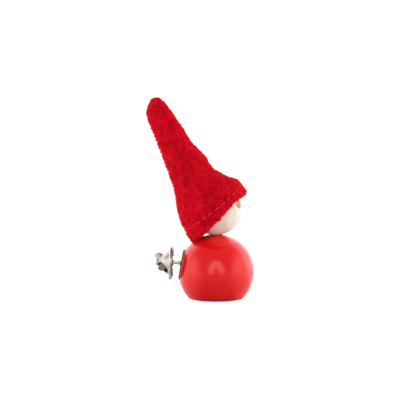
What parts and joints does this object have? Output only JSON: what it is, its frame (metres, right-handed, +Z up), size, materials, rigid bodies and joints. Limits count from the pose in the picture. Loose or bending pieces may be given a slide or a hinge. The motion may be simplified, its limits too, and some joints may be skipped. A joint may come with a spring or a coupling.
{
  "type": "gnome lapel pin",
  "caption": "Turned wooden gnome with a tall felt hat that leans back, made as a lapel pin with a tie-tack post and butterfly clutch behind.",
  "frame": {"origin": "centre of the flat base that the gnome stands on", "axes": "+Z up, +X the way the gnome faces, +Y to its left; the pin points back, along -X"},
  "size_m": [0.0354, 0.025, 0.0663],
  "materials": {
    "red_paint": "satin red lacquer on wood",
    "bare_wood": "bare dowel",
    "head_wood": "smooth pale birch, clear coat",
    "felt": "matted wool felt",
    "thread": "red sewing thread",
    "glue": "amber glue line",
    "pin_metal": "plated, a little dull",
    "solder": "bright solder",
    "clutch_metal": "nickel plate",
    "wing_metal": "nickel plate"
  },
  "bodies": {
    "figure": {"body_ball": "red_paint", "neck_dowel": "bare_wood", "head_ball": "head_wood", "hat_felt": "felt", "hat_hem_stitches": "thread", "hat_seam_stitches": "thread", "pin_glue": "glue", "pin_pad": "pin_metal", "pin_post": "pin_metal", "pin_solder": "solder"},
    "clutch_base": {"clutch_plate": "clutch_metal"},
    "clutch_top": {"clutch_cover": "clutch_metal"},
    "wing_upper": {"clutch_wing_upper": "wing_metal"},
    "wing_lower": {"clutch_wing_lower": "wing_metal"}
  },
  "joints": [
    {"name": "clutch_slide", "type": "slide", "parent": "figure", "child": "clutch_base", "axis": [-0.999, 0, 0.0436], "range_m": [-0.0015, 0.008]},
    {"name": "clutch_turn", "type": "hinge", "parent": "clutch_base", "child": "clutch_top", "pos_m": [-0.01633, 0, 0.01184], "axis": [-0.999, 0, 0.0436], "continuous": true},
    {"name": "upper_wing_pinch", "type": "hinge", "parent": "clutch_top", "child": "wing_upper", "pos_m": [-0.01706, 0.00182, 0.0134], "axis": [0.0334, -0.6428, 0.7653], "range_deg": [0, 6], "stiffness_Nm_per_rad": 0.02},
    {"name": "lower_wing_pinch", "type": "hinge", "parent": "clutch_top", "child": "wing_lower", "pos_m": [-0.01719, -0.00166, 0.01049], "axis": [-0.0334, 0.6428, -0.7653], "range_deg": [0, 6], "stiffness_Nm_per_rad": 0.02}
  ]
}
